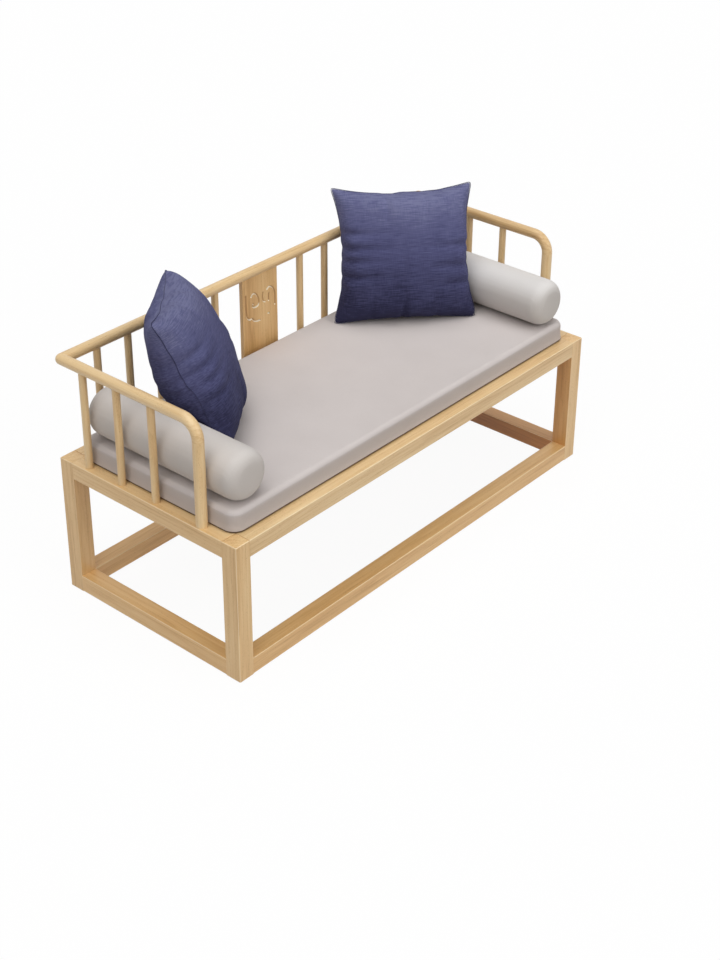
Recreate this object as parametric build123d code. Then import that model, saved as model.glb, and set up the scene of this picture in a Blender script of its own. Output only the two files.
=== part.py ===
from build123d import *
import os
from math import cos, radians, sin, sqrt, tan

os.makedirs("parts", exist_ok=True)

# A luohan daybed: a low open frame of square members with a slatted deck, a round back
# rail and arm rails on turned spindles, a carved splat, and loose soft furnishings.
# Millimetres, +X along the seat, -Y to the front, +Z up, origin on the floor at the centre.

# ---- driving dimensions: base frame ----
frame_length = 1500.0
frame_depth = 654.0
seat_height = 415.0            # floor to the top of the seat rails
member = 50.0                  # square section of the legs and the rails
arris_radius = 3.0             # eased outer edges of the square members
seam_radius = 0.8              # eased edges of a leg where a rail meets it
tenon_thickness = 16.0
tenon_height = 34.0
glue_gap = 0.1                 # clearance round tenons, dowels and housings
pad_diameter = 36.0
pad_thickness = 2.0            # felt pads under the legs

# ---- driving dimensions: deck ----
slat_thickness = 15.0
slat_width = 100.0
slats_per_half = 5
ledger_width = 20.0
ledger_height = 25.0
stretcher_width = 34.0
stretcher_tenon = 20.0         # how far the stretcher's ends enter the seat rails
stretcher_tenon_height = 20.0
deck_gap = 1.0                 # play at the ends of slats and ledger strips
screw_radius = 2.0
screw_head_radius = 4.0
screw_head_height = 2.6
screw_length = 34.0
screw_recess = 1.0             # head below the surface
ledger_screws_per_strip = 3

# ---- driving dimensions: back and arms ----
rail_diameter = 31.0           # back rail, arm rails and front posts
rail_height = 711.0            # floor to the axis of the back and arm rails
arm_inset = 18.0               # outer face of the frame to the axis of an arm
back_inset = 20.0              # rear face of the frame to the axis of the back
post_setback = 135.0           # front face of the frame to the axis of a front post
bend_radius = 50.0             # axis radius of the arm rail's front bend
spindle_diameter = 21.0
spindle_tenon_diameter = 12.0
spindle_tenon_depth = 22.0     # into the seat rail
spindle_tenon_cover = 4.0      # wood left above a tenon in the round rail
post_tenon_diameter = 20.0
dowel_diameter = 8.0
mitre_dowel_length = 24.0
post_dowel_length = 44.0
arm_spindles = 3
arm_corner_space = 79.0        # corner of the rails to the rearmost arm spindle
arm_post_space = 166.0         # front post to the foremost arm spindle
back_spindles_per_side = 5
back_corner_space = 119.0      # corner of the rails to the outermost back spindle
splat_space = 104.0            # edge of the splat to the nearest spindle
splat_width = 144.0
splat_thickness = 12.0
splat_foot = 10.0              # depth of the splat's housing in the seat rail
splat_head = 8.0               # depth of the splat's housing in the back rail
carving_width = 5.0
carving_depth = 5.0
carving_drop = 103.5           # underside of the back rail to the middle of the carved cloud

# ---- driving dimensions: soft furnishings ----
rest_gap = 0.3                 # soft parts stay this far from what they touch
cover_thickness = 1.5
core_gap = 0.2                 # play between a cover and its core
cushion_thickness = 60.0
cushion_side_gap = 2.5         # to the posts and to the back rail
cushion_setback = 35.0         # front face of the frame to the cushion
cushion_corner_radius = 25.0
cushion_top_radius = 23.0
cushion_base_radius = 7.0
bolster_diameter = 146.0
bolster_front_space = 8.0      # front edge of the cushion to the bolster's front end
bolster_rear_space = 21.0      # rear edge of the cushion to the bolster's rear end
bolster_rim_radius = 38.0
bolster_arm_gap = 1.0
pillow_side = 416.0
pillow_thickness = 168.0
pillow_pull = 20.0             # how far the sides of a pillow curve in between its corners

# ---- places worked out from the sizes ----
half_length = frame_length / 2
half_depth = frame_depth / 2
leg_x = half_length - member / 2
leg_y = half_depth - member / 2
rail_span_x = frame_length - 2 * member
rail_span_y = frame_depth - 2 * member
inner_x = rail_span_x / 2
inner_y = rail_span_y / 2
floor_rail_z = pad_thickness + member / 2
seat_rail_z = seat_height - member / 2
slat_bottom = seat_height - slat_thickness
ledger_z = slat_bottom - ledger_height / 2
arm_x = half_length - arm_inset
back_y = half_depth - back_inset
post_y = post_setback - half_depth
rail_radius = rail_diameter / 2
post_top = rail_height - bend_radius
deck_top = seat_height


def upright(x, y, bottom, top, diameter):
    """A plain vertical cylinder between two heights."""
    return Pos(x, y, (bottom + top) / 2) * Cylinder(diameter / 2, top - bottom)


def bored(diameter):
    """The bore for a round tenon or dowel of this diameter."""
    return diameter + 2 * glue_gap


# ---------------------------------------------------------------- base frame

def leg(x, y, turn):
    """A full-height leg, mortised on its two inner faces for the floor and seat rails."""
    height = seat_height - pad_thickness
    blank = extrude(Rectangle(member, member), height)
    edges = blank.edges().filter_by(Axis.Z)
    outer = [e for e in edges if e.center().X < 0 and e.center().Y < 0]
    seams = [e for e in edges if e not in outer]
    blank = fillet(seams, seam_radius)
    top = blank.edges().group_by(Axis.Z)[-1]
    rim = [e for e in top if e.center().X < -member / 4 and abs(e.center().Y) < 1]
    rim += [e for e in top if e.center().Y < -member / 4 and abs(e.center().X) < 1]
    corner = blank.edges().filter_by(Axis.Z).group_by(Axis.X)[0].sort_by(Axis.Y)[0]
    blank = fillet(rim + [corner], arris_radius)
    reach = member / 2 + tenon_thickness / 2 + glue_gap
    mortise_size = (tenon_thickness + 2 * glue_gap, tenon_height + 2 * glue_gap)
    middle = member / 2 - reach / 2
    for z in (floor_rail_z - pad_thickness, seat_rail_z - pad_thickness):
        blank -= Pos(middle, 0, z) * Box(reach, *mortise_size)
        blank -= Pos(0, middle, z) * Rot(0, 0, 90) * Box(reach, *mortise_size)
    return Pos(x, y, pad_thickness) * Rot(0, 0, turn) * blank


def rail(span):
    """A square rail along X with a tenon at each end, mitred to meet its neighbour's tenon.
    The long side of each tenon is on the rail's outer side, -Y."""
    bar = Box(span, member, member)
    bar = fillet(bar.edges().filter_by(Axis.X), arris_radius)
    shoulder = span / 2
    axis_x = shoulder + member / 2
    half = tenon_thickness / 2
    outline = Polyline(
        (shoulder, -half),
        (axis_x + half - glue_gap, -half),
        (axis_x - half - glue_gap, half),
        (shoulder, half),
        close=True,
    )
    tenon = extrude(Pos(0, 0, -tenon_height / 2) * make_face(outline), tenon_height)
    return bar + tenon + mirror(tenon, Plane.YZ)


def frame_rails(z):
    """The four rails at one level, keyed by side."""
    along = rail(rail_span_x)
    across = rail(rail_span_y)
    return {
        "front": Pos(0, -leg_y, z) * along,
        "rear": Pos(0, leg_y, z) * Rot(0, 0, 180) * along,
        "left": Pos(-leg_x, 0, z) * Rot(0, 0, -90) * across,
        "right": Pos(leg_x, 0, z) * Rot(0, 0, 90) * across,
    }


legs = {
    "leg_front_left": leg(-leg_x, -leg_y, 0),
    "leg_front_right": leg(leg_x, -leg_y, 90),
    "leg_rear_right": leg(leg_x, leg_y, 180),
    "leg_rear_left": leg(-leg_x, leg_y, -90),
}
floor_rails = frame_rails(floor_rail_z)
seat_rails = frame_rails(seat_rail_z)
floor_pads = [
    upright(sx * leg_x, sy * leg_y, 0, pad_thickness, pad_diameter)
    for sx in (-1, 1) for sy in (-1, 1)
]

# ---------------------------------------------------------------- deck

def stretcher():
    """The bearer that ties the front and rear seat rails at mid length."""
    height = slat_bottom - (seat_height - member)
    z = slat_bottom - height / 2
    body = Pos(0, 0, z) * Box(stretcher_width, rail_span_y - 2 * glue_gap, height)
    ends = Pos(0, 0, z) * Box(
        stretcher_width, rail_span_y + 2 * stretcher_tenon, stretcher_tenon_height
    )
    return body + ends


def stretcher_housing():
    """The mortises for the stretcher in the front and rear seat rails, as one cutter."""
    z = (slat_bottom + seat_height - member) / 2
    reach = rail_span_y + 2 * (stretcher_tenon + glue_gap)
    return Pos(0, 0, z) * Box(
        stretcher_width + 2 * glue_gap, reach, stretcher_tenon_height + 2 * glue_gap
    )


def screw(clearance=0.0):
    """A countersunk screw pointing down from z = 0, or its hole when clearance is given."""
    shank = screw_radius + clearance
    head = screw_head_radius + clearance
    depth = screw_length + clearance
    profile = Polyline(
        (0, 0), (head, 0), (shank, -screw_head_height), (shank, -depth), (0, -depth), close=True
    )
    body = revolve(Plane.XZ * make_face(profile), Axis.Z)
    if clearance:
        body += Pos(0, 0, screw_recess / 2) * Cylinder(head, screw_recess)
    return body


ledger_length = inner_x - stretcher_width / 2 - 2 * deck_gap
ledger_x = stretcher_width / 2 + deck_gap + ledger_length / 2
ledger_y = inner_y - ledger_width / 2
slat_length = rail_span_y - 2 * deck_gap
slat_pitch = inner_x / slats_per_half
slat_places = [
    side * (i + 0.5) * slat_pitch for side in (-1, 1) for i in range(slats_per_half)
]
slat_places.sort()
slat_screw_places = [
    Pos(x, sy * ledger_y, seat_height - screw_recess) for x in slat_places for sy in (-1, 1)
]
ledger_screw_step = ledger_length / ledger_screws_per_strip
ledger_screw_places = [
    Pos(sx * ledger_x + (k - (ledger_screws_per_strip - 1) / 2) * ledger_screw_step,
        sy * (inner_y - ledger_width + screw_recess), ledger_z) * Rot(sy * 90, 0, 0)
    for sx in (-1, 1) for sy in (-1, 1) for k in range(ledger_screws_per_strip)
]
slat_screws = [place * screw() for place in slat_screw_places]
ledger_screws = [place * screw() for place in ledger_screw_places]
slat_screw_holes = [place * screw(glue_gap) for place in slat_screw_places]
ledger_screw_holes = [place * screw(glue_gap) for place in ledger_screw_places]

ledger_strips = [
    Pos(sx * ledger_x, sy * ledger_y, ledger_z) * Box(ledger_length, ledger_width, ledger_height)
    - slat_screw_holes - ledger_screw_holes
    for sx in (-1, 1) for sy in (-1, 1)
]


def slat(x):
    """One deck board, running from front to rear on the ledger strips."""
    board = Box(slat_width, slat_length, slat_thickness)
    board = fillet(board.edges().filter_by(Axis.Y), arris_radius / 2)
    near = [h for h, place in zip(slat_screw_holes, slat_screw_places)
            if abs(place.position.X - x) < slat_width / 2]
    return Pos(x, 0, slat_bottom + slat_thickness / 2) * board - near


for side in ("front", "rear"):
    seat_rails[side] -= [stretcher_housing()] + ledger_screw_holes

# ---------------------------------------------------------------- back and arms

spindle_foot = seat_height - spindle_tenon_depth
spindle_head = rail_height + rail_radius - spindle_tenon_cover
arm_spindle_step = (back_y - arm_corner_space - post_y - arm_post_space) / (arm_spindles - 1)
arm_spindle_ys = [
    back_y - arm_corner_space - i * arm_spindle_step for i in range(arm_spindles)
]
first_back_spindle = splat_width / 2 + splat_space
back_spindle_step = (
    (arm_x - back_corner_space - first_back_spindle) / (back_spindles_per_side - 1)
)
back_spindle_xs = sorted(
    side * (first_back_spindle + i * back_spindle_step)
    for side in (-1, 1) for i in range(back_spindles_per_side)
)


def mitre_block(side, behind):
    """A block that ends just short of the mitre plane at a rear corner, on the back
    rail's side of it when `behind` is true and on the arm rail's side otherwise."""
    reach = 4 * rail_diameter
    shift = (reach - glue_gap) / 2
    block = Pos(0, shift if behind else -shift, 0) * Box(reach, reach, reach)
    return Pos(side * arm_x, back_y, rail_height) * Rot(0, 0, side * 45) * block


def round_end(x, y, turn):
    """The hemisphere that rounds off the outside of a mitred corner."""
    quarter = Plane.XY * (Circle(rail_radius) & Pos(rail_radius, rail_radius) * Rectangle(
        rail_diameter, rail_diameter))
    ball = revolve(quarter, Axis.X)
    return Pos(x, y, rail_height) * Rot(0, 0, turn) * ball


def mitre_dowel(side, clearance=0.0):
    """A dowel square to the mitre at one rear corner, or its bore when clearance is given."""
    body = Cylinder(dowel_diameter / 2 + clearance, mitre_dowel_length + 2 * clearance)
    return Pos(side * arm_x, back_y, rail_height) * Rot(0, 0, side * 45) * Rot(90, 0, 0) * body


def post_dowel(side, clearance=0.0):
    """The dowel between a front post and the bent end of its arm rail."""
    body = Cylinder(dowel_diameter / 2 + clearance, post_dowel_length + 2 * clearance)
    return Pos(side * arm_x, post_y, post_top) * body


def back_rail():
    """The round top rail, mitred at both ends, bored for spindles and housed for the splat."""
    bar = Pos(0, back_y, rail_height) * Rot(0, 90, 0) * Cylinder(rail_radius, 2 * arm_x)
    bar += round_end(arm_x, back_y, 0) + round_end(-arm_x, back_y, 180)
    bar -= [mitre_block(side, False) for side in (-1, 1)]
    bar -= [upright(x, back_y, spindle_foot, spindle_head + glue_gap,
                    bored(spindle_tenon_diameter)) for x in back_spindle_xs]
    bar -= splat_blank(glue_gap)
    bar -= [mitre_dowel(side, glue_gap) for side in (-1, 1)]
    return bar


def arm_rail(side):
    """An arm rail: straight from the rear corner, then bent down to the front post."""
    x = side * arm_x
    start = (x, back_y, rail_height)
    bend_start = (x, post_y + bend_radius, rail_height)
    lean = bend_radius * (1 - sqrt(0.5))
    bend_middle = (x, post_y + lean, rail_height - lean)
    bend_end = (x, post_y, post_top)
    path = Line(start, bend_start) + ThreePointArc(bend_start, bend_middle, bend_end)
    section = Plane(origin=start, z_dir=(0, -1, 0)) * Circle(rail_radius)
    bar = sweep(section, path) + round_end(x, back_y, 90)
    bar -= mitre_block(side, True)
    bar -= [upright(x, y, spindle_foot, spindle_head + glue_gap,
                    bored(spindle_tenon_diameter)) for y in arm_spindle_ys]
    bar -= mitre_dowel(side, glue_gap)
    bar -= post_dowel(side, glue_gap)
    return bar


def spindle(x, y, rail_turn):
    """A spindle coped to the underside of a round rail, with a round tenon at each end."""
    body = upright(x, y, seat_height, rail_height, spindle_diameter)
    body -= Pos(x, y, rail_height) * Rot(0, 0, rail_turn) * Rot(0, 90, 0) * Cylinder(
        rail_radius + glue_gap, 3 * spindle_diameter)
    return body + upright(x, y, spindle_foot, spindle_head, spindle_tenon_diameter)


def front_post(side):
    """The post under an arm's front bend, tenoned into the side seat rail."""
    x = side * arm_x
    body = upright(x, post_y, seat_height, post_top - glue_gap, rail_diameter)
    body += upright(x, post_y, spindle_foot, seat_height + member / 2, post_tenon_diameter)
    return body - post_dowel(side, glue_gap)


def splat_blank(clearance=0.0):
    """The plain splat board, or the housing that holds it when clearance is given."""
    bottom = seat_height - splat_foot - clearance
    top = rail_height - rail_radius + splat_head + clearance
    width = splat_width + 2 * clearance
    thickness = splat_thickness + 2 * clearance
    return Pos(0, back_y, (bottom + top) / 2) * Box(width, thickness, top - bottom)


def cloud_strokes():
    """The lines of the carved cloud, about its own middle, X across and Y up."""
    return [
        Spline((-58, 54), (-58, 22), (-56, -8), (-50, -22)),
        Spline((-50, -22), (-42, -27), (-34, -26), (-26, -36), (-14, -41), (-2, -42)),
        Spline((-36, 44), (-28, 51), (-15, 46), (-5, 25), (-8, 9), (-22, 6), (-31, 12), (-29, 20)),
        Spline((13, 41), (11, 26), (15, 13), (21, 9)),
        Spline((37, 30), (36, 20), (36, 8)),
        Spline((30, 46), (40, 51), (54, 43), (62, 26), (63, 6), (62, -13)),
        Line((33, -33), (37, -33)),
    ]


def back_splat():
    """The splat, carved on its front face with a traditional cloud scroll."""
    middle = (0, back_y - splat_thickness / 2, rail_height - rail_radius - carving_drop)
    front = Plane(origin=middle, x_dir=(1, 0, 0), z_dir=(0, -1, 0))
    board = splat_blank()
    tips = carving_width / 2
    for stroke in cloud_strokes():
        line = trace(stroke, carving_width)
        ends = [Pos(stroke @ t) * Circle(tips) for t in (0, 1)]
        board -= extrude(front * (line + ends), -carving_depth)
    return board


arm_spindle_cuts = {
    side: [upright(sx * arm_x, y, spindle_foot - glue_gap, rail_height,
                   bored(spindle_tenon_diameter)) for y in arm_spindle_ys]
    + [upright(sx * arm_x, post_y, spindle_foot - glue_gap, rail_height,
               bored(post_tenon_diameter))]
    for side, sx in (("left", -1), ("right", 1))
}
for side, cuts in arm_spindle_cuts.items():
    seat_rails[side] -= cuts
seat_rails["rear"] -= [
    upright(x, back_y, spindle_foot - glue_gap, rail_height, bored(spindle_tenon_diameter))
    for x in back_spindle_xs
]
seat_rails["rear"] -= splat_blank(glue_gap)

# ---------------------------------------------------------------- soft furnishings

cushion_bottom = deck_top + rest_gap
cushion_top = seat_height + cushion_thickness
cushion_length = 2 * (arm_x - rail_radius - cushion_side_gap)
cushion_front = cushion_setback - half_depth
cushion_rear = back_y - rail_radius - cushion_side_gap
cushion_depth = cushion_rear - cushion_front
bolster_radius = bolster_diameter / 2
bolster_x = arm_x - rail_radius - bolster_arm_gap - bolster_radius
bolster_length = cushion_depth - bolster_front_space - bolster_rear_space
bolster_y = cushion_front + bolster_front_space + bolster_length / 2
bolster_z = cushion_top + rest_gap + bolster_radius


def cushion_form(inset):
    """The seat cushion's form, drawn in by an inset on every side."""
    outline = RectangleRounded(cushion_length - 2 * inset, cushion_depth - 2 * inset,
                               cushion_corner_radius - inset)
    height = cushion_top - cushion_bottom - 2 * inset
    block = extrude(outline, height)
    rims = block.edges().group_by(Axis.Z)
    block = fillet(rims[-1], cushion_top_radius - inset)
    block = fillet(block.edges().group_by(Axis.Z)[0], cushion_base_radius - inset)
    return Pos(0, (cushion_front + cushion_rear) / 2, cushion_bottom + inset) * block


def bolster_form(side, inset):
    """A bolster's form: a round bar with soft rims, drawn in by an inset."""
    bar = Cylinder(bolster_radius - inset, bolster_length - 2 * inset)
    bar = fillet(bar.edges().filter_by(GeomType.CIRCLE), bolster_rim_radius - inset)
    return Pos(side * bolster_x, bolster_y, bolster_z) * Rot(90, 0, 0) * bar


def pillow_outline(scale, inset):
    """A square outline with pointed corners and sides that curve in."""
    half = (pillow_side / 2 - inset) * scale
    mid = half - pillow_pull * scale
    corners = [(half, half), (-half, half), (-half, -half), (half, -half)]
    middles = [(0, mid), (-mid, 0), (0, -mid), (mid, 0)]
    sides = [
        ThreePointArc(corners[i], middles[i], corners[(i + 1) % 4]) for i in range(4)
    ]
    return make_face(Wire(sides))


def pillow_form(inset):
    """A square pillow, crowned on both faces and thin at the seam, centred on its seam."""
    crown = pillow_thickness / 2 - inset
    levels = [(0.0, 1.0), (0.45, 0.9), (0.8, 0.7), (1.0, 0.36)]
    sections = [Pos(0, 0, crown * h) * pillow_outline(s, inset) for h, s in levels]
    face_side = loft(sections)
    return face_side + mirror(face_side, Plane.XY)


def covered(form, place=Location()):
    """The cover and the core of a soft part, from its form as a function of inset."""
    cover = form(0) - form(cover_thickness)
    core = form(cover_thickness + core_gap)
    return place * cover, place * core


def pillow_location(side, beside, before, facing, lean, roll, settle):
    """Stands a pillow on the seat cushion: it faces the front, turned by `facing` about the
    vertical, leans back by `lean` and is rolled in its own plane by `roll`. Its middle is
    `beside` the bolster, and `before` the back rail where it passes the rail's height."""
    drop = pillow_side / 2 * cos(radians(lean)) * (cos(radians(roll)) + abs(sin(radians(roll))))
    z = cushion_top + rest_gap + drop + settle
    slope = tan(radians(lean)) * cos(radians(facing))
    x = side * (bolster_x - bolster_radius - beside)
    y = back_y - before - (rail_height - z) * slope
    return Pos(x, y, z) * Rot(0, 0, facing) * Rot(90 - lean, 0, 0) * Rot(0, 0, roll)


pillow_locations = {
    "left": pillow_location(-1, beside=110.9, before=199.0, facing=49.8, lean=26.9, roll=-5.6,
                            settle=1.6),
    "right": pillow_location(1, beside=133.8, before=177.0, facing=-41.5, lean=17.5, roll=0.0,
                             settle=0.1),
}


# ---------------------------------------------------------------- nodes

nodes = dict(legs)
nodes |= {f"floor_rail_{side}": part for side, part in floor_rails.items()}
nodes |= {f"seat_rail_{side}": part for side, part in seat_rails.items()}
nodes["floor_pads"] = Compound(floor_pads)
nodes["seat_stretcher"] = stretcher()
nodes["seat_ledgers"] = Compound(ledger_strips)
nodes["ledger_screws"] = Compound(ledger_screws)
nodes |= {f"seat_slat_{i:02d}": slat(x) for i, x in enumerate(slat_places, 1)}
nodes["slat_screws"] = Compound(slat_screws)
nodes["back_rail"] = back_rail()
nodes["back_splat"] = back_splat()
nodes |= {
    f"back_spindle_{i:02d}": spindle(x, back_y, 0) for i, x in enumerate(back_spindle_xs, 1)
}
for side, sx in (("left", -1), ("right", 1)):
    nodes[f"arm_rail_{side}"] = arm_rail(sx)
    nodes[f"front_post_{side}"] = front_post(sx)
    nodes |= {
        f"arm_spindle_{side}_{i}": spindle(sx * arm_x, y, 90)
        for i, y in enumerate(arm_spindle_ys, 1)
    }
nodes["rail_dowels"] = Compound(
    [mitre_dowel(side) for side in (-1, 1)] + [post_dowel(side) for side in (-1, 1)]
)
nodes["seat_cushion_cover"], nodes["seat_cushion_core"] = covered(cushion_form)
for side, sx in (("left", -1), ("right", 1)):
    nodes[f"bolster_{side}_cover"], nodes[f"bolster_{side}_core"] = covered(
        lambda inset: bolster_form(sx, inset)
    )
    nodes[f"pillow_{side}_cover"], nodes[f"pillow_{side}_insert"] = covered(
        pillow_form, pillow_locations[side]
    )

for name, part in nodes.items():
    export_step(part, f"parts/{name}.step")
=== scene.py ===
import math

import bmesh
import bpy
import numpy as np
from mathutils import Matrix, Vector, noise


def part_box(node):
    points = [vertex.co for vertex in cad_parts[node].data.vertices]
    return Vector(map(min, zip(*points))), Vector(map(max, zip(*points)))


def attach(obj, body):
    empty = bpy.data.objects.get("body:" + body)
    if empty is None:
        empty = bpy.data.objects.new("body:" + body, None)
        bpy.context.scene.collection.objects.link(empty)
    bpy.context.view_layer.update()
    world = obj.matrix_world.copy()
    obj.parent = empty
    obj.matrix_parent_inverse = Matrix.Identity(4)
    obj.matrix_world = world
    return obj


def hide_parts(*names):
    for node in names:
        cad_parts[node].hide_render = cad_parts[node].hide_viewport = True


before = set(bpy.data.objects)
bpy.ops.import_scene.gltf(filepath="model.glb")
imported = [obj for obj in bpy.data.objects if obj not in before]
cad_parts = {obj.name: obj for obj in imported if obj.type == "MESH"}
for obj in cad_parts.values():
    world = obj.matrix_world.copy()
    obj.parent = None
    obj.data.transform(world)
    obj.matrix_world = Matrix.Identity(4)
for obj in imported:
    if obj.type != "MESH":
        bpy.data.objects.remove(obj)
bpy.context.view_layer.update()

X, Y, Z = range(3)


# ---------------------------------------------------------------- shader maths

class Value:
    """An output socket of a finish. Arithmetic on it adds Math nodes."""

    def __init__(self, finish, socket):
        self.finish = finish
        self.socket = socket

    def maths(self, operation, *operands):
        settings = {"operation": operation}
        return self.finish.node("ShaderNodeMath", settings, dict(enumerate(operands)))

    def __add__(self, other):
        return self.maths("ADD", self, other)

    def __radd__(self, other):
        return self.maths("ADD", other, self)

    def __sub__(self, other):
        return self.maths("SUBTRACT", self, other)

    def __rsub__(self, other):
        return self.maths("SUBTRACT", other, self)

    def __mul__(self, other):
        return self.maths("MULTIPLY", self, other)

    def sine(self):
        return self.maths("SINE", self)

    def fraction(self):
        return self.maths("FRACT", self)

    def size(self):
        return self.maths("ABSOLUTE", self)

    def at_most(self, other):
        return self.maths("MINIMUM", self, other)

    def at_least(self, other):
        return self.maths("MAXIMUM", self, other)

    def swing(self, strength):
        """A value between 0 and 1, made to vary as strongly as this about 0."""
        return (self - 0.5) * strength

    def smooth(self, low, high):
        """0 below low, 1 above high, and a smooth step between them."""
        settings = {"interpolation_type": "SMOOTHSTEP"}
        return self.finish.node("ShaderNodeMapRange", settings,
                                {"Value": self, "From Min": low, "From Max": high})


class Finish:
    """The node tree of a material or of the world, under construction."""

    def __init__(self, owner):
        self.owner = owner
        owner.use_nodes = True
        self.tree = owner.node_tree
        self.tree.nodes.clear()

    def node(self, kind, settings=None, inputs=None, out=0):
        """Adds a node, applies its settings, then its socket values and links."""
        node = self.tree.nodes.new(kind)
        for name, value in (settings or {}).items():
            if name == "stops":
                self.set_stops(node.color_ramp, value)
            else:
                setattr(node, name, value)
        for name, value in (inputs or {}).items():
            if isinstance(value, Value):
                self.tree.links.new(value.socket, node.inputs[name])
            else:
                node.inputs[name].default_value = value
        return Value(self, node.outputs[out]) if len(node.outputs) else None

    @staticmethod
    def set_stops(ramp, stops):
        for place, shade in stops[1:-1]:
            ramp.elements.new(place)
        for element, (place, shade) in zip(ramp.elements, stops):
            element.position = place
            element.color = (*shade, 1.0)

    def place(self, frame_of_piece=None):
        """Object coordinates, or those of a piece that was turned and moved by a matrix."""
        spot = self.node("ShaderNodeTexCoord", out="Object")
        if frame_of_piece is None:
            return spot
        return self.node("ShaderNodeMapping", {"vector_type": "TEXTURE"}, {
            "Vector": spot, "Location": frame_of_piece.to_translation(),
            "Rotation": frame_of_piece.to_euler()})

    def facing(self):
        """The direction that the surface faces, as three values."""
        return self.split(self.node("ShaderNodeNewGeometry", out="Normal"))

    def split(self, vector):
        return [self.node("ShaderNodeSeparateXYZ", None, {0: vector}, out) for out in range(3)]

    def join(self, x, y, z):
        return self.node("ShaderNodeCombineXYZ", None, {0: x, 1: y, 2: z})

    def noise(self, vector, scale, detail=2.0, roughness=0.5):
        return self.node("ShaderNodeTexNoise", {"noise_dimensions": "3D"}, {
            "Vector": vector, "Scale": scale, "Detail": detail, "Roughness": roughness},
            out="Fac")

    def blend(self, share, first, second, mode="MIX"):
        """Mixes two colours by a share."""
        settings = {"data_type": "RGBA", "blend_type": mode}
        first, second = (c if isinstance(c, Value) else (*c, 1.0) for c in (first, second))
        return self.node("ShaderNodeMix", settings, {0: share, 6: first, 7: second}, out=2)

    def ramp(self, share, stops, tone):
        """A colour ramp whose stops are multiplied by a tone."""
        toned = [(place, tuple(c * t for c, t in zip(shade, tone))) for place, shade in stops]
        return self.node("ShaderNodeValToRGB", {"stops": toned}, {0: share})

    def bump(self, height, distance, strength):
        return self.node("ShaderNodeBump", None, {
            "Height": height, "Distance": distance, "Strength": strength})

    def surface(self, **sockets):
        """Closes the material with a Principled BSDF; socket names take _ for a space."""
        named = {name.replace("_", " "): value for name, value in sockets.items()}
        shader = self.node("ShaderNodeBsdfPrincipled", None, named)
        self.node("ShaderNodeOutputMaterial", None, {"Surface": shader})
        return self.owner


def new_finish(name):
    """An empty finish for a new material."""
    return Finish(bpy.data.materials.new(name))


# ---------------------------------------------------------------- finishes

PAINTED_LIGHT_TONE = (1.0, 1.04, 1.09)                # tones that multiply the ash shades: painted light, plain, painted shade, deepest painted shade
PLAIN = (1.01, 1.0, 0.97)
PAINTED_SHADE_TONE = (0.99, 0.92, 0.79)
PAINTED_DEEPEST_SHADE_TONE = (0.86, 0.67, 0.49)
ASH_SHADES = (                          # from early wood to late wood
    (0.0, (0.845, 0.610, 0.325)),
    (0.5, (0.755, 0.500, 0.235)),
    (1.0, (0.575, 0.330, 0.125)),
)
ASH_PORES = (0.33, 0.17, 0.06)
# pale arrises: part wear, part painted highlight
ASH_WORN_AND_HIGHLIGHT = (0.93, 0.79, 0.56)
ASH_PAINTED_INNER_SHADE = (0.93, 0.76, 0.58)      # painted shade: multiplies the colour of faces turned in
# Painted shade inside the cuts, and painted light on their walls that face up.
CUT_SHADED = (0.50, 0.29, 0.12)
CUT_LIT = (1.0, 0.91, 0.70)
CUT_FROM = (0.0003, 0.0010)             # depth behind the front at which cut wood begins
CUT_TO = (0.005, 0.006)                 # and the distance from the back at which it ends
CUT_EDGE = 0.003                        # the board's side edges are not cut
GRAIN_SHIFTS = (7.3, 3.1)               # side and rise of the grain from piece to piece
GRAIN_RUN = 0.06                        # how slowly the grain changes along a board
GRAIN_RUN_SHIFT = 5.7
RING_TILT = (0.55, 0.83)
RINGS_PER_METRE = 70.0
RING_DRIFT = 9.0


def inner_shade_and_pale_arrises(wood, colour, spot, facing, streaks):
    """Paints shade on faces turned in from the ends, and makes the arrises pale: part wear, part
    painted highlight.
    """
    # painted shade on faces turned in towards the middle
    inward = (spot[X] * facing[X] * -1.0).smooth(0.3, 0.6)
    colour = wood.blend(inward, colour, ASH_PAINTED_INNER_SHADE, "MULTIPLY")
    # pale arrises: part wear, part painted highlight
    square = facing[X].size().at_least(facing[Y].size()).at_least(facing[Z].size())
    arris = 1.0 - square.smooth(0.80, 0.985)
    return wood.blend(arris * (0.35 + streaks * 0.5), colour, ASH_WORN_AND_HIGHLIGHT)


def paint_cut_light_and_shade(wood, colour, spot, up, node):
    """Colours the cuts in a board's front face: painted light where they face up, and painted
    shade elsewhere.
    """
    low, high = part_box(node)
    inside = (spot[Y] - low.y).smooth(*CUT_FROM) * (high.y - spot[Y]).smooth(*CUT_TO)
    inside = inside * ((high.x - CUT_EDGE) - spot[X].size()).smooth(0.0, 0.0005)
    # painted shade in the cuts, then painted light where they face up
    colour = wood.blend(inside * 0.75, colour, CUT_SHADED)
    return wood.blend(inside * up.smooth(0.1, 0.4), colour, CUT_LIT)


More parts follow.
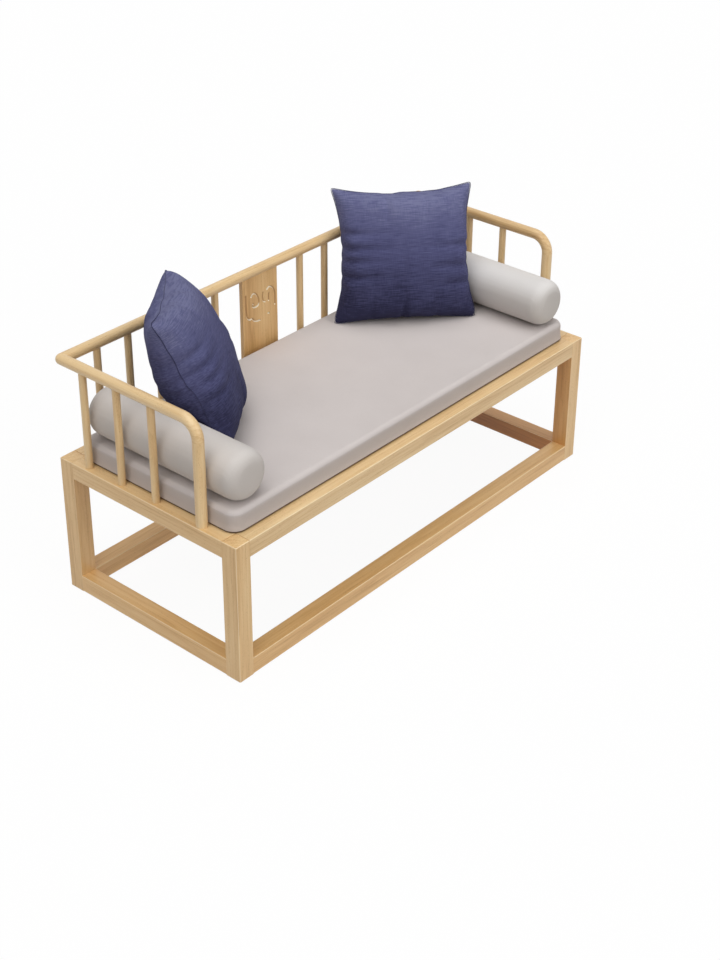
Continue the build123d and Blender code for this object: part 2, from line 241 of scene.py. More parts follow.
def oiled_ash(name, along, tone, square=False, carved=None):
    """Straight-grained ash under clear oil, its grain running along one axis. Square members
    get painted shade on faces turned in, and pale arrises that are part wear and part
    painted highlight. A carved board gets painted light and painted shade in its cuts."""
    wood = new_finish(name)
    spot = wood.split(wood.place())
    piece = wood.node("ShaderNodeObjectInfo", out="Random")
    across = [spot[axis] for axis in range(3) if axis != along]
    side, rise = (value + piece * shift for value, shift in zip(across, GRAIN_SHIFTS))
    run = spot[along] * GRAIN_RUN + piece * GRAIN_RUN_SHIFT
    grain = wood.join(side, rise, run)
    drift = wood.noise(grain, 11.0, 3.0)
    tilted = side * RING_TILT[0] + rise * RING_TILT[1]
    rings = (tilted * RINGS_PER_METRE + drift * RING_DRIFT + piece * RING_DRIFT).fraction()
    late = rings.smooth(0.30, 0.93) * (1.0 - rings.smooth(0.93, 1.0))
    streaks = wood.noise(wood.join(side, rise, run * 0.6), 210.0, 3.0, 0.65)
    pores = wood.noise(wood.join(side, rise, run * 3.0), 900.0, 1.0).smooth(0.6, 0.72)
    bands = wood.noise(grain, 19.0, 2.0)
    share = late * 0.17 + streaks.swing(1.15) + bands.swing(1.5) + piece.swing(0.16) + 0.42
    # the tone carries the painted light and shade of the board's place
    colour = wood.ramp(share, ASH_SHADES, tone)
    colour = wood.blend(pores * late * 0.35 + pores * 0.1, colour, ASH_PORES)
    facing = wood.facing()
    if square:
        colour = inner_shade_and_pale_arrises(wood, colour, spot, facing, streaks)
    if carved:
        colour = paint_cut_light_and_shade(wood, colour, spot, facing[Z], carved)
    height = (1.0 - pores * 0.6) + streaks.swing(0.3)
    return wood.surface(
        Base_Color=colour,
        Roughness=0.44 + streaks.swing(0.15) + pores * 0.1,
        Coat_Weight=0.35,
        Coat_Roughness=0.32,
        Normal=wood.bump(height, 0.0002, 0.5),
    )


def weave(cloth_side, cloth_rise, pitch):
    """The height of a plain weave: warp and weft that pass over each other in turn."""
    warp = (cloth_side * (math.pi / pitch)).sine()
    weft = (cloth_rise * (math.pi / pitch)).sine()
    over = (warp * weft).smooth(-0.2, 0.2)
    return over * (1.0 - warp * warp) + (1.0 - over) * (1.0 - weft * weft)


GREIGE_PITCH = 0.0011                   # from thread to thread
GREIGE_SKEW = 0.37                      # how the warp follows the cloth round an edge
# A dark band of painted shade round the cushion's foot, its soft edge and its rise.
PAINTED_FOOT_SHADE = (0.085, 0.052, 0.034)
PAINTED_FOOT_SHADE_EDGE = 0.0015
PAINTED_FOOT_SHADE_RISE = 0.0048                # above the underside of the cushion


def greige_cloth(name, light, dark, sides, base=None):
    """Close upholstery cloth, almost smooth, with a faint mottle and a fine weave. Painted shade
    makes it deeper, by a colour that multiplies, where it doesn't face up. A cushion with a
    base level has a dark band of painted shade round its foot, up to just above that level."""
    cloth = new_finish(name)
    place = cloth.place()
    side, rise, depth = cloth.split(place)
    threads = weave(side + depth * GREIGE_SKEW, rise + depth, GREIGE_PITCH)
    mottle = cloth.noise(place, 9.0, 3.0)
    speckle = cloth.noise(place, 420.0, 2.0)
    share = mottle.swing(0.8) + speckle.swing(0.5) + 0.5 - threads.swing(0.12)
    colour = cloth.blend(share.at_least(0.0).at_most(1.0), light, dark)
    up = cloth.facing()[Z]
    # painted shade where the cloth doesn't face up
    colour = cloth.blend(1.0 - up.smooth(0.1, 0.95), colour, sides, "MULTIPLY")
    if base:
        # painted shade: a dark band round the foot
        under = 1.0 - depth.smooth(base, base + PAINTED_FOOT_SHADE_EDGE)
        colour = cloth.blend(under, colour, PAINTED_FOOT_SHADE)
    return cloth.surface(
        Base_Color=colour,
        Roughness=0.86 + speckle.swing(0.1),
        Specular_IOR_Level=0.25,
        Normal=cloth.bump(threads * 0.6 + speckle * 0.6, 0.00025, 0.45),
    )


LINEN_SHADES = (
    (0.0, (0.024, 0.024, 0.064)),
    (0.5, (0.083, 0.086, 0.192)),
    (0.8, (0.122, 0.127, 0.255)),
    (1.0, (0.180, 0.187, 0.325)),
)
LINEN_PITCH = 0.0013
LINEN_SLUB = 0.06                       # how slowly thick and thin change along a weft thread
LINEN_WARP = 0.10                       # and along a warp thread
LINEN_PAINTED_LIGHT_RISE = 2.6                        # painted light: paler above, by the metre
LINEN_PAINTED_SHADE_BACK = 6.0                        # painted shade: deeper behind the seam, by the metre


def navy_linen(name, tone, frame_of_piece=None):
    """Slubbed linen: thick and thin weft threads run across the pillow. It has painted light
    above, and painted shade below and behind."""
    cloth = new_finish(name)
    place = cloth.place(frame_of_piece)
    side, rise, depth = cloth.split(place)
    threads = weave(side, rise, LINEN_PITCH)
    slub = cloth.noise(cloth.join(side * LINEN_SLUB, rise, depth * 0.2), 420.0, 2.0)
    warp = cloth.noise(cloth.join(side, rise * LINEN_WARP, depth * 0.2), 420.0, 1.0)
    fade = cloth.noise(place, 7.0, 2.0)
    # painted light above, painted shade below and behind
    share = slub.swing(0.8) + warp.swing(0.25) + fade.swing(0.5) + 0.46 + rise * LINEN_PAINTED_LIGHT_RISE
    share = share + depth.at_most(0.0) * LINEN_PAINTED_SHADE_BACK
    return cloth.surface(
        Base_Color=cloth.ramp(share, LINEN_SHADES, (tone, tone, tone)),
        Roughness=0.88,
        Specular_IOR_Level=0.2,
        Normal=cloth.bump(threads * 0.5 + slub * 0.8, 0.0004, 0.5),
    )


def zinc(name):
    """Dull zinc plating on the screws."""
    metal = new_finish(name)
    spangle = metal.noise(metal.place(), 900.0, 2.0)
    return metal.surface(
        Base_Color=metal.blend(spangle, (0.50, 0.50, 0.51), (0.62, 0.62, 0.60)),
        Metallic=1.0,
        Roughness=0.34 + spangle.swing(0.2),
    )


def felt(name):
    """Pressed wool felt under the legs."""
    wool = new_finish(name)
    fibre = wool.noise(wool.place(), 700.0, 3.0, 0.7)
    return wool.surface(
        Base_Color=wool.blend(fibre, (0.13, 0.11, 0.09), (0.24, 0.20, 0.17)),
        Roughness=0.95,
        Normal=wool.bump(fibre, 0.0004, 0.6),
    )


cushion_low, cushion_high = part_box("seat_cushion_cover")
# The cushion's sides take painted shade, and painted shade runs in a dark band round its foot.
cushion_cloth = greige_cloth("cushion_cloth", (0.680, 0.625, 0.605), (0.615, 0.560, 0.540),
                             (0.81, 0.80, 0.79), cushion_low.z + PAINTED_FOOT_SHADE_RISE)
# The left bolster's cloth is deeper all over: painted shade from the pillow and rail above it.
# Both bolsters' sides take painted shade.
bolster_cloths = {
    "left": greige_cloth("bolster_cloth_left", (0.700, 0.660, 0.630), (0.640, 0.600, 0.570),
                         (0.87, 0.86, 0.85)),
    "right": greige_cloth("bolster_cloth_right", (0.800, 0.775, 0.755), (0.735, 0.710, 0.690),
                          (0.75, 0.73, 0.71)),
}
# A deeper linen for the seam cord: painted shade along the sewn edge.
seam_shade_cloth = navy_linen("seam_linen", 0.55)


# ---------------------------------------------------------------- frame and hardware

RUN_ALONG_X = ("seat_rail_front", "seat_rail_rear", "floor_rail_front", "floor_rail_rear",
               "seat_ledgers", "back_rail")
RUN_ALONG_Y = ("seat_rail_left", "seat_rail_right", "floor_rail_left", "floor_rail_right",
               "seat_stretcher", "arm_rail_left", "arm_rail_right")
SQUARE_MEMBERS = ("leg", "seat_rail", "floor_rail")
# Tones by place: painted light on the upper members, painted shade on the low ones and the splat,
# the deepest painted shade on the right floor rail; legs and the left seat rail keep the plain
# tone.
TONES_BY_KIND = {"leg": PLAIN, "floor": PAINTED_SHADE_TONE}
TONES_BY_NODE = {"seat_rail_left": PLAIN, "floor_rail_right": PAINTED_DEEPEST_SHADE_TONE}
ash_boards = {}


def paint(node, material):
    """Gives a CAD node one finish all over."""
    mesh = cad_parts[node].data
    mesh.materials.clear()
    mesh.materials.append(material)


def ash_for(node):
    """The finish of one wooden node: its grain runs along it, and its tone, painted light and
    shade, goes with its place.
    """
    along = X if node in RUN_ALONG_X else Y if node in RUN_ALONG_Y or "slat" in node else Z
    square = node.startswith(SQUARE_MEMBERS)
    by_kind = TONES_BY_KIND.get(node.split("_")[0], PAINTED_LIGHT_TONE)
    tone = TONES_BY_NODE.get(node, by_kind)
    board = (along, tone, square)
    if board not in ash_boards:
        ash_boards[board] = oiled_ash(f"ash_{len(ash_boards) + 1}", along, tone, square)
    return ash_boards[board]


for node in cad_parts:
    if "screws" in node:
        paint(node, zinc("zinc_" + node))
    elif node == "floor_pads":
        paint(node, felt("felt_pads"))
    else:
        paint(node, ash_for(node))


# ---------------------------------------------------------------- meshes

def mesh_object(name, mesh, material, body):
    """Puts a finished mesh in the scene, smooth-shaded, riding on a body."""
    piece = bpy.data.objects.new(name, mesh)
    bpy.context.scene.collection.objects.link(piece)
    mesh.materials.clear()
    mesh.materials.append(material)
    mesh.shade_smooth()
    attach(piece, body)
    return piece


def evaluated(work):
    """A new mesh of an object as its modifiers leave it."""
    return bpy.data.meshes.new_from_object(
        work.evaluated_get(bpy.context.evaluated_depsgraph_get()))


def finished(shell, name):
    """A new mesh of a bmesh, which is freed."""
    mesh = bpy.data.meshes.new(name)
    shell.to_mesh(mesh)
    shell.free()
    return mesh


def points_of(mesh):
    """The places of a mesh's points, a row each."""
    spots = np.empty(len(mesh.vertices) * 3)
    mesh.vertices.foreach_get("co", spots)
    return spots.reshape(-1, 3)


def set_points(mesh, spots):
    """Moves a mesh's points to these places."""
    mesh.vertices.foreach_set("co", np.ascontiguousarray(spots, float).ravel())
    mesh.update()


# ---------------------------------------------------------------- carved splat

CARVING_DROP = 0.1035           # underside of the back rail to the middle of the carved cloud
CARVING_REACH = 0.0034          # from the middle of a cut to its edge
CARVING_DEPTH = 0.0042
CARVING_CELL = 0.0008
CARVING_STEPS = 40              # close points between two points of a stroke
CLOUD_FIELD = 0.062             # half the height of the field that the cloud lies in
CLOUD_STROKES = (               # millimetres from the middle of the cloud, X across and Y up
    ((-58, 54), (-58, 22), (-56, -8), (-50, -22)),
    ((-50, -22), (-42, -27), (-34, -26), (-26, -36), (-14, -41), (-2, -42)),
    ((-36, 44), (-28, 51), (-15, 46), (-5, 25), (-8, 9), (-22, 6), (-31, 12), (-29, 20)),
    ((13, 41), (11, 26), (15, 13), (21, 9)),
    ((37, 30), (36, 20), (36, 8)),
    ((30, 46), (40, 51), (54, 43), (62, 26), (63, 6), (62, -13)),
    ((33, -33), (37, -33)),
)


def smooth_line(points):
    """Close points on a smooth line that runs through some points given in millimetres."""
    points = [np.array(point) / 1000.0 for point in points]
    ends = [points[0] * 2 - points[1], *points, points[-1] * 2 - points[-2]]
    line = [points[-1]]
    for a, b, c, d in zip(ends, ends[1:], ends[2:], ends[3:]):
        for t in np.arange(CARVING_STEPS) / CARVING_STEPS:
            bend = 2 * a - 5 * b + 4 * c - d + t * (3 * (b - c) + d - a)
            line.append(b + 0.5 * t * (c - a + t * bend))
    return np.array(line)


def groove(across, up):
    """How deep the cloud is cut at places on the board, measured from its middle."""
    away = np.full(len(across), 1.0)
    for stroke in CLOUD_STROKES:
        line = smooth_line(stroke)
        reach = np.hypot(across[:, None] - line[:, 0], up[:, None] - line[:, 1])
        away = np.minimum(away, reach.min(axis=1))
    return CARVING_DEPTH * np.maximum(0.0, 1 - away / CARVING_REACH)


def carved_splat():
    """The splat board, with the cloud cut into its front face as a V groove."""
    low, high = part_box("back_splat")
    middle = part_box("back_rail")[0].z - CARVING_DROP
    columns = np.linspace(low.x, high.x, round((high.x - low.x) / CARVING_CELL) + 1)
    field = np.linspace(-CLOUD_FIELD, CLOUD_FIELD, round(2 * CLOUD_FIELD / CARVING_CELL) + 1)
    rows = np.concatenate(([low.z], middle + field, [high.z]))
    across, up = (grid.ravel() for grid in np.meshgrid(columns, rows))
    spots = np.stack([across, low.y + groove(across, up - middle), up], axis=1).tolist()
    wide, tall = len(columns), len(rows)
    front = [(k, k + 1, k + wide + 1, k + wide)
             for k in range(wide * (tall - 1)) if k % wide < wide - 1]
    rim = [list(range(wide)), list(range(wide - 1, wide * tall, wide)),
           list(range(wide * tall - 1, wide * (tall - 1) - 1, -1)),
           list(range(wide * (tall - 1), -1, -wide))]
    back = [len(spots) + k for k in range(4)]
    spots += [(low.x, high.y, low.z), (high.x, high.y, low.z), (high.x, high.y, high.z),
              (low.x, high.y, high.z)]
    sides = [side[::-1] + [back[k], back[(k + 1) % 4]] for k, side in enumerate(rim)]
    mesh = bpy.data.meshes.new("carved_splat")
    mesh.from_pydata(spots, [], front + sides + [back[::-1]])
    ash = oiled_ash("ash_carved", Z, PAINTED_SHADE_TONE, carved="back_splat")
    splat = mesh_object("carved_splat", mesh, ash, "frame")
    mesh.set_sharp_from_angle(angle=math.radians(60))
    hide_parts("back_splat")


carved_splat()


# ---------------------------------------------------------------- stuffing

CLOTH_QUALITY = 6
CLOTH_MASS = 0.3
CLOTH_SHEAR = 0.5               # shear stiffness, as a share of the tension stiffness
CLOTH_DAMPING = 4.0


def puff(mesh, pressure, frames, cap, voxel=None, stiffness=15.0, bending=0.5):
    """Blows a closed mesh up like stuffed cloth and returns the new mesh; no point moves
    further than the cap."""
    scene = bpy.context.scene
    work = bpy.data.objects.new("stuffing", mesh.copy())
    scene.collection.objects.link(work)
    if voxel:
        remesh = work.modifiers.new("remesh", "REMESH")
        remesh.mode = "VOXEL"
        remesh.voxel_size = voxel
        start = evaluated(work)
        work.modifiers.clear()
        work.data = start
    before = points_of(work.data)
    cloth = work.modifiers.new("cloth", "CLOTH")
    settings = cloth.settings
    settings.quality = CLOTH_QUALITY
    settings.mass = CLOTH_MASS
    settings.tension_stiffness = stiffness
    settings.compression_stiffness = stiffness
    settings.shear_stiffness = stiffness * CLOTH_SHEAR
    settings.bending_stiffness = bending
    settings.air_damping = CLOTH_DAMPING
    settings.use_pressure = True
    settings.uniform_pressure_force = pressure
    settings.effector_weights.gravity = 0.0
    cloth.point_cache.frame_end = frames
    for step in range(1, frames + 1):
        scene.frame_set(step)
    blown = evaluated(work)
    work.modifiers.clear()
    scene.frame_set(1)
    moved = points_of(blown) - before
    reach = np.linalg.norm(moved, axis=1, keepdims=True)
    work.data = blown
    set_points(blown, before + moved * np.minimum(1.0, cap / np.maximum(reach, 1e-9)))
    done = work.data
    bpy.data.objects.remove(work)
    return done


def subdivided(mesh):
    """The mesh after one level of Catmull-Clark subdivision."""
    work = bpy.data.objects.new("subdividing", mesh)
    bpy.context.scene.collection.objects.link(work)
    modifier = work.modifiers.new("smooth", "SUBSURF")
    modifier.levels = 1
    modifier.render_levels = 1
    done = evaluated(work)
    bpy.data.objects.remove(work)
    return done


# ---------------------------------------------------------------- seat cushion

CUSHION_CLEAR = 0.0003          # what lies on the cushion stays this far above it
CUSHION_WIDER = Vector((0.002, -0.001, 0.0))    # than its solid each side, before stuffing
CUSHION_FOOT = 0.0003           # from the underside of its solid to its foot
CUSHION_CORNER = 0.038
CUSHION_TOP_EDGE = 0.014
CUSHION_FOOT_EDGE = 0.006
CUSHION_CELLS = (0.013, 0.013, 0.008)           # along X, Y and Z
CUSHION_HELD = 0.001            # the simulation moves nothing up to this far above the foot
CUSHION_FREE = 0.018            # and moves all of it this much further up
CUSHION_SAG = 0.0004            # the least dip of the top
CUSHION_RIPPLE = 0.0006         # half of what its ripples add to that at most
CUSHION_RIPPLES = 5.0           # the scale of the noise that makes them
CUSHION_LAYER = 1.7             # and the layer of it that they are taken from
CUSHION_CROWN = 0.03            # how far down from its top the ripples reach
CUSHION_ROOM = (0.004, 0.002, 0.0)              # the most that it is wider once stuffed
TOUCHING = 1e-5                 # points nearer than this are at one level


def rounded_slab(low, high, corner, top, base):
    """A finely divided slab with rounded corners, a full top edge and a tighter foot."""
    slab = bmesh.new()
    bmesh.ops.create_cube(slab, size=1.0)
    for vert in slab.verts:
        vert.co = Vector((low[i] + high[i]) / 2 + vert.co[i] * (high[i] - low[i])
                         for i in range(3))
    upright = [e for e in slab.edges if abs(e.verts[0].co.z - e.verts[1].co.z) > 1e-4]
    bmesh.ops.bevel(slab, geom=upright, offset=corner, segments=8, profile=0.5, affect="EDGES")
    for level, radius in ((high[Z], top), (low[Z], base)):
        rim = [e for e in slab.edges if all(abs(v.co.z - level) < TOUCHING for v in e.verts)]
        bmesh.ops.bevel(slab, geom=rim, offset=radius, segments=4, profile=0.5, affect="EDGES")
    for axis, cell in enumerate(CUSHION_CELLS):
        count = round((high[axis] - low[axis]) / cell)
        across = Vector(float(axis == i) for i in range(3))
        for k in range(1, count):
            place = across * (low[axis] + (high[axis] - low[axis]) * k / count)
            bmesh.ops.bisect_plane(slab, geom=slab.verts[:] + slab.edges[:] + slab.faces[:],
                                   dist=TOUCHING, plane_co=place, plane_no=across)
    return finished(slab, "rounded_slab")


def seat_cushion():
    """The long seat cushion: a foam slab under cloth, flat where it is sat on, full at its
    rim and tight against the seat at its foot."""
    foot = cushion_low.z + CUSHION_FOOT
    low, high = cushion_low - CUSHION_WIDER, cushion_high + CUSHION_WIDER
    slab = rounded_slab(Vector((low.x, low.y, foot)), high, CUSHION_CORNER, CUSHION_TOP_EDGE,
                        CUSHION_FOOT_EDGE)
    before = points_of(slab)
    mesh = puff(slab, pressure=3.0, frames=14, cap=0.004)
    freed = np.clip((before[:, Z] - foot - CUSHION_HELD) / CUSHION_FREE, 0.0, 1.0)[:, None]
    spots = before + (points_of(mesh) - before) * freed
    for spot in spots:
        ripple = noise.noise(Vector((spot[X] * CUSHION_RIPPLES, spot[Y] * CUSHION_RIPPLES,
                                     CUSHION_LAYER)))
        if spot[Z] > cushion_high.z - CUSHION_CROWN:
            spot[Z] -= CUSHION_SAG + CUSHION_RIPPLE * (ripple + 1.0)
    room = np.array(CUSHION_ROOM)
    spots = np.clip(spots, np.array(cushion_low) - room, np.array(cushion_high) + room)
    set_points(mesh, spots)
    cushion = mesh_object("seat_cushion", subdivided(mesh), cushion_cloth,
                          "seat_cushion")
    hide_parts("seat_cushion_cover", "seat_cushion_core")


# ---------------------------------------------------------------- bolsters

BOLSTER_DRAWN_IN = 0.003        # before it is blown up again


def split_islands(shell):
    """The separate closed surfaces of a mesh, each as a set of its vertices."""
    left = set(shell.verts)
    islands = []
    while left:
        island, edge = set(), {left.pop()}
        while edge:
            island |= edge
            edge = {e.other_vert(v) for v in edge for e in v.link_edges} - island
        left -= island
        islands.append(island)
    return islands


def from_cad(node, shrink):
    """A copy of a soft CAD solid's outer shell, drawn in by a margin."""
    shell = bmesh.new()
    shell.from_mesh(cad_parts[node].data)
    bmesh.ops.remove_doubles(shell, verts=shell.verts, dist=1e-6)
    low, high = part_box(node)
    middle = (low + high) / 2
    half = (high - low) / 2
    outer = max(split_islands(shell), key=lambda verts: max((v.co - middle).length for v in verts))
    bmesh.ops.delete(shell, geom=[v for v in shell.verts if v not in outer], context="VERTS")
    for vert in shell.verts:
        offset = vert.co - middle
        vert.co = middle + Vector(offset[i] * (1 - shrink / half[i]) for i in range(3))
    return finished(shell, node + "_form")


def bolster(side):
    """A round bolster with soft ends, held within the bounds of its solid."""
    node = f"bolster_{side}_cover"
    low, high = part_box(node)
    form = from_cad(node, BOLSTER_DRAWN_IN)
    mesh = subdivided(puff(form, pressure=4.0, frames=12, cap=0.0045, voxel=0.007, bending=2.0))
    set_points(mesh, np.clip(points_of(mesh), np.array(low), np.array(high)))
    piece = mesh_object(f"bolster_{side}", mesh, bolster_cloths[side],
                        f"bolster_{side}")
    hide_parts(node, f"bolster_{side}_core")


# ---------------------------------------------------------------- pillows

PILLOW_FLAT = 0.452             # the flat cover, seam to seam
PILLOW_CELLS = 60
PILLOW_LOFT = 0.020             # thickness of the cover before it is stuffed
PILLOW_LUMPS = 0.4              # how much that thickness varies, as a share
PILLOW_CORNER = 0.030           # how far the corners are rounded off, as a share
PILLOW_BOW = 0.030              # how far the side edges are cut full, as a share
PILLOW_IRONING = 9              # passes that take accidental creases out
PILLOW_HALF_WIDTH = 0.216       # from its middle to its side corners, once it is stuffed
PILLOW_BOTTOM = 0.209           # from its middle down to its bottom corners
PILLOW_TOP = 0.200              # from its middle up to its top corners, which the filling lowers
PILLOW_TAPER = 0.015            # how much wider the filling makes it below than above, as a share
PILLOW_THICKNESS = 0.170
PILLOW_FULLNESS = 0.66          # under 1 brings the filling nearer to the seam
PILLOW_THINNEST = 0.03          # and this keeps the cloth at the seam from standing upright
PILLOW_FOOT = 0.24              # the share of its thickness that it lacks at the bottom
PILLOW_SLOPE = 1.5              # how late head and heel begin to thin the back
PILLOW_EAR = 2.6                # how soon an edge has run in from its corners
PILLOW_EASING = 5               # seam points each side that an edge is averaged over
PILLOW_CLEAR = 0.0006           # between a pillow and the round pieces that it leans on
BOTTOM, RIGHT, TOP, LEFT = range(4)
PILLOW_INSETS = {BOTTOM: 0.011, RIGHT: 0.023, TOP: 0.0245, LEFT: 0.031}
PILLOW_PUCKERS = {              # places along an edge, from -1 to 1, and how strong each one is
    BOTTOM: ((-0.50, 0.5), (-0.05, 1.0), (0.42, 0.6)),
    RIGHT: ((-0.44, 0.8), (-0.18, 1.0), (0.12, 0.9)),
    TOP: ((-0.28, 0.35), (0.30, 0.3)),
    LEFT: ((-0.30, 0.9), (-0.06, 0.7), (0.12, 1.0), (0.34, 0.8)),
}
PUCKER_WIDTH = 0.010
PUCKER_LENGTH = 0.040
PUCKER_DEPTH = 0.50             # the share of the thickness that a pucker takes away
PUCKER_NOTCH = 0.0028           # how far it draws the seam in
PUCKER_BEHIND = 0.2             # how much of it shows on the back of the pillow
SEAM_RADIUS = 0.0011


def flat_cover():
    """Two square panels sewn together round the edge, a little apart in the middle, and the
    order of the points along their seam."""
    shell = bmesh.new()
    grid = {}
    cells = range(PILLOW_CELLS)
    for face in (1, -1):
        for i in range(PILLOW_CELLS + 1):
            for j in range(PILLOW_CELLS + 1):
                u, v = (2 * k / PILLOW_CELLS - 1 for k in (i, j))
                rim = i in (0, PILLOW_CELLS) or j in (0, PILLOW_CELLS)
                if rim and face < 0:
                    grid[face, i, j] = grid[1, i, j]
                    continue
                lumps = 1 + PILLOW_LUMPS * noise.noise(Vector((u * 2.0, v * 2.0, face * 3.0)))
                loft = 0.0 if rim else PILLOW_LOFT * lumps * ((1 - u * u) * (1 - v * v)) ** 0.5
                reach = PILLOW_FLAT / 2 * (1 - PILLOW_CORNER * abs(u * v) ** 7)
                bow = 1 + PILLOW_BOW * (1 - v * v) * u * u
                grid[face, i, j] = shell.verts.new((u * reach * bow, v * reach, face * loft))
    for face in (1, -1):
        for i in cells:
            for j in cells:
                loop = [grid[face, i, j], grid[face, i + 1, j],
                        grid[face, i + 1, j + 1], grid[face, i, j + 1]]
                shell.faces.new(loop if face > 0 else loop[::-1])
    rim_points = [(k, 0) for k in cells]
    rim_points += [(PILLOW_CELLS, k) for k in cells]
    rim_points += [(PILLOW_CELLS - k, PILLOW_CELLS) for k in cells]
    rim_points += [(0, PILLOW_CELLS - k) for k in cells]
    shell.verts.index_update()
    rim = [grid[1, i, j].index for i, j in rim_points]
    return finished(shell, "flat_cover"), rim


def iron(mesh, rim):
    """Takes the accidental creases out of a blown pillow, along its seam and inside it."""
    cloth = bmesh.new()
    cloth.from_mesh(mesh)
    cloth.verts.ensure_lookup_table()
    sewn = [cloth.verts[index] for index in rim]
    on_seam = set(sewn)
    inner = [vert for vert in cloth.verts if vert not in on_seam]
    for _ in range(PILLOW_IRONING):
        places = [vert.co.copy() for vert in sewn]
        for k, vert in enumerate(sewn):
            if k % PILLOW_CELLS:
                beside = places[k - 1] + places[(k + 1) % len(sewn)]
                vert.co = places[k] / 2 + beside / 4
        bmesh.ops.smooth_vert(cloth, verts=inner, factor=0.5, use_axis_x=True,
                              use_axis_y=True, use_axis_z=True)
    cloth.to_mesh(mesh)
    cloth.free()


def stuffed_pillow():
    """The mesh of a stuffed pillow, its points as it lies flat, and the order of its seam."""
    mesh, rim = flat_cover()
    mesh = puff(mesh, pressure=8.0, frames=14, cap=0.12, stiffness=20.0, bending=0.05)
    iron(mesh, rim)
    spots = points_of(mesh)
    corners = spots[[rim[k * PILLOW_CELLS] for k in range(4)]]
    side = np.mean(np.linalg.norm(corners - np.roll(corners, 1, axis=0), axis=1))
    spots[:, :Z] *= 2 * PILLOW_HALF_WIDTH / side
    spots[:, Z] *= PILLOW_THICKNESS / np.ptp(spots[:, Z])
    return mesh, spots, rim


def filled_out(depth):
    """A share of the full thickness, made larger where the pillow is thin."""
    low = PILLOW_THINNEST ** PILLOW_FULLNESS
    high = (1 + PILLOW_THINNEST) ** PILLOW_FULLNESS
    return ((depth + PILLOW_THINNEST) ** PILLOW_FULLNESS - low) / (high - low)


def fill(spots, back, head, heel):
    """Gives a pillow its full sides and a thinner foot. Its back is as full as it says, less
    the head's and the heel's share towards its top and its bottom."""
    thick = PILLOW_THICKNESS / 2
    depth = spots[:, Z].copy()
    high = np.clip(spots[:, Y] / PILLOW_TOP, 0.0, 1.0)
    lower = np.clip(-spots[:, Y] / PILLOW_BOTTOM, 0.0, 1.0)
    foot = 1 - PILLOW_FOOT * lower ** 2
    spots[:, Z] = np.sign(depth) * thick * filled_out(np.abs(depth) / thick) * foot
    behind = back - head * high ** PILLOW_SLOPE - heel * lower ** PILLOW_SLOPE
    spots[:, Z] *= np.where(depth < 0, behind, 1.0)


def fit_edge(spots, rim, edge, along, across, quarters, crumple):
    """Puckers one sewn edge of a pillow. Says where the edge is and where it should be, at
    each point's own place along it."""
    first = (edge - quarters) % 4 * PILLOW_CELLS
    sewn = spots[[rim[(first + k) % len(rim)] for k in range(PILLOW_CELLS + 1)]]
    sewn = sewn[np.argsort(sewn[:, along])]
    start, end = sewn[[0, -1], along]
    place = np.clip((2 * spots[:, along] - start - end) / (end - start), -1.0, 1.0)
    window = 2 * PILLOW_EASING + 1
    eased = np.convolve(np.pad(sewn[:, across], PILLOW_EASING, "edge"),
                        np.full(window, 1 / window), "valid")
    eased[[0, -1]] = sewn[[0, -1], across]
    now = np.interp(spots[:, along], sewn[:, along], (sewn[:, across] + eased) / 2)
    reach = {BOTTOM: PILLOW_BOTTOM, TOP: PILLOW_TOP}
    wanted = reach.get(edge, PILLOW_HALF_WIDTH * (1 - PILLOW_TAPER * place))
    wanted = wanted - PILLOW_INSETS[edge] * (1 - np.abs(place) ** PILLOW_EAR)
    inward = np.abs(now - spots[:, across])
    puckered = np.where(spots[:, Z] < 0, PUCKER_BEHIND, 1.0) * PUCKER_DEPTH
    for at, strength in PILLOW_PUCKERS[edge]:
        away = (place - at) * (end - start) / 2
        pucker = crumple[edge] * strength * np.exp(-(away / PUCKER_WIDTH) ** 2)
        wanted -= PUCKER_NOTCH * pucker
        spots[:, Z] *= 1 - puckered * pucker * np.exp(-inward / PUCKER_LENGTH)
    return now, wanted if edge in (TOP, RIGHT) else -wanted


def round_corners(spots, width, height, radius):
    """Rounds the four corners of a pillow's plan."""
    size = np.abs(spots[:, :Z])
    share = np.clip((size - (np.array((width, height)) - radius)) / radius, 0.0, 1.0)
    drawn = share * np.sqrt(1 - share[:, ::-1] ** 2 / 2)
    spots[:, :Z] += np.sign(spots[:, :Z]) * (drawn - share) * radius


def shaped(spots, rim, quarters, corner, back, head, heel, crumple):
    """Gives a stuffed pillow that has been turned by some quarters its full sides, the
    outline of its four edges, their puckers and its corners' radius."""
    fill(spots, back, head, heel)
    for along, across, edges in ((X, Y, (BOTTOM, TOP)), (Y, X, (LEFT, RIGHT))):
        (low, low_wanted), (high, high_wanted) = [
            fit_edge(spots, rim, edge, along, across, quarters, crumple) for edge in edges]
        share = (spots[:, across] - low) / (high - low)
        spots[:, across] = low_wanted + share * (high_wanted - low_wanted)
    round_corners(spots, PILLOW_HALF_WIDTH, PILLOW_TOP, corner)
    return spots


def keep_clear(spots, side):
    """Moves points of a pillow out of the cushion, the bolster and the back rail."""
    spots[:, Z] = np.maximum(spots[:, Z], cushion_high.z + CUSHION_CLEAR)
    for node, along, axes in ((f"bolster_{side}_cover", Y, (X, Z)), ("back_rail", X, (Y, Z))):
        low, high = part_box(node)
        middle = np.array((low + high) / 2)[list(axes)]
        radius = (high.z - low.z) / 2 + PILLOW_CLEAR
        offset = spots[:, axes] - middle
        reach = np.linalg.norm(offset, axis=1, keepdims=True)
        level = (spots[:, along] > low[along]) & (spots[:, along] < high[along])
        out = middle + offset * np.maximum(1.0, radius / np.maximum(reach, 1e-6))
        spots[:, axes] = np.where(level[:, None], out, spots[:, axes])
    return spots


